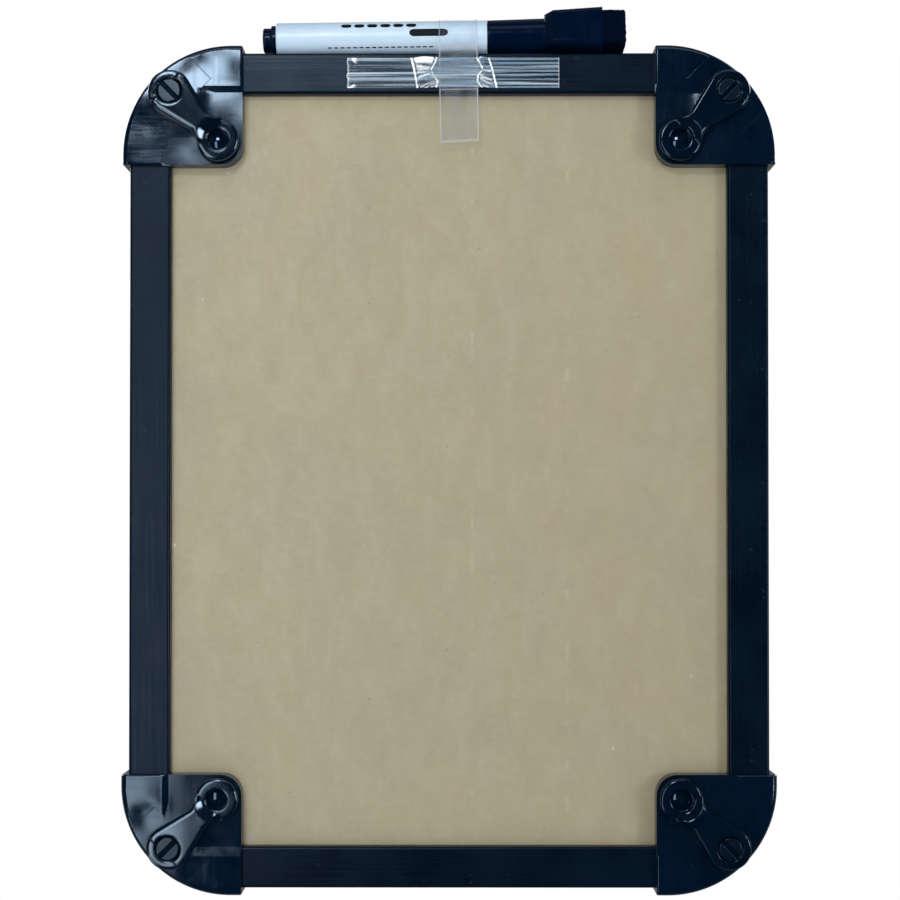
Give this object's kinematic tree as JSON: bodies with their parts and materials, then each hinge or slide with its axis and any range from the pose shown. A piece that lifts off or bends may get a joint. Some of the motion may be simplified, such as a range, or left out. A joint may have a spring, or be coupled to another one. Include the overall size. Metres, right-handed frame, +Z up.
{
  "type": "magnetic whiteboard",
  "caption": "Framed magnetic dry-erase board with swivelling hanger tabs on its corners and a capped marker strapped to its top edge.",
  "frame": {"origin": "middle of the wall plane: the plane of the hanger tabs' raised arms, level with the board's centre", "axes": "+X to the right seen from behind, +Y from the wall to the writing face, +Z up"},
  "size_m": [0.2154, 0.0178, 0.2925],
  "materials": {
    "rail_plastic": "satin extruded blue-black plastic",
    "corner_plastic": "glossy moulded blue-black plastic",
    "tab_plastic": "glossy moulded blue-black plastic",
    "rivet_plastic": "moulded blue-black plastic",
    "chipboard": "mottled tan grey chipboard",
    "lacquered_steel": "white gloss lacquer on steel",
    "barrel_plastic": "white moulded plastic",
    "cap_plastic": "black moulded plastic",
    "ink_fibre": "ink-soaked fibre",
    "nib_holder_plastic": "black plastic",
    "nib_felt": "black ink felt",
    "magnet": "grey ferrite",
    "felt": "black pressed felt",
    "clear_film": "clear plastic film",
    "clear_tape": "clear adhesive tape"
  },
  "bodies": {
    "board": {"rail_top": "rail_plastic", "rail_bottom": "rail_plastic", "rail_left": "rail_plastic", "rail_right": "rail_plastic", "corner_top_left": "corner_plastic", "corner_top_right": "corner_plastic", "corner_bottom_left": "corner_plastic", "corner_bottom_right": "corner_plastic", "tab_rivet_top_left": "rivet_plastic", "tab_rivet_top_right": "rivet_plastic", "tab_rivet_bottom_left": "rivet_plastic", "tab_rivet_bottom_right": "rivet_plastic", "backing_board": "chipboard", "writing_sheet": "lacquered_steel", "marker_strap": "clear_film", "strap_tape": "clear_tape"},
    "tab_top_left": {"hanger_tab_top_left": "tab_plastic"},
    "tab_top_right": {"hanger_tab_top_right": "tab_plastic"},
    "tab_bottom_left": {"hanger_tab_bottom_left": "tab_plastic"},
    "tab_bottom_right": {"hanger_tab_bottom_right": "tab_plastic"},
    "marker": {"marker_barrel": "barrel_plastic", "marker_end_plug": "cap_plastic", "ink_reservoir": "ink_fibre", "nib_holder": "nib_holder_plastic", "marker_nib": "nib_felt"},
    "cap": {"marker_cap": "cap_plastic", "cap_magnet": "magnet", "felt_eraser": "felt"}
  },
  "joints": [
    {"name": "tab_top_left_swivel", "type": "hinge", "parent": "board", "child": "tab_top_left", "pos_m": [-0.09175, 0.00225, 0.124], "axis": [0, -1, 0], "range_deg": [-180, 180]},
    {"name": "tab_top_right_swivel", "type": "hinge", "parent": "board", "child": "tab_top_right", "pos_m": [0.09175, 0.00225, 0.124], "axis": [0, -1, 0], "range_deg": [-180, 180]},
    {"name": "tab_bottom_left_swivel", "type": "hinge", "parent": "board", "child": "tab_bottom_left", "pos_m": [-0.09175, 0.00225, -0.124], "axis": [0, -1, 0], "range_deg": [-180, 180]},
    {"name": "tab_bottom_right_swivel", "type": "hinge", "parent": "board", "child": "tab_bottom_right", "pos_m": [0.09175, 0.00225, -0.124], "axis": [0, -1, 0], "range_deg": [-180, 180]},
    {"name": "marker_slide", "type": "slide", "parent": "board", "child": "marker", "axis": [0.9999, 0, 0.0127], "range_m": [-0.003, 0.004]},
    {"name": "cap_pull", "type": "slide", "parent": "marker", "child": "cap", "axis": [0.9999, 0, 0.0127], "range_m": [0, 0.005]}
  ]
}
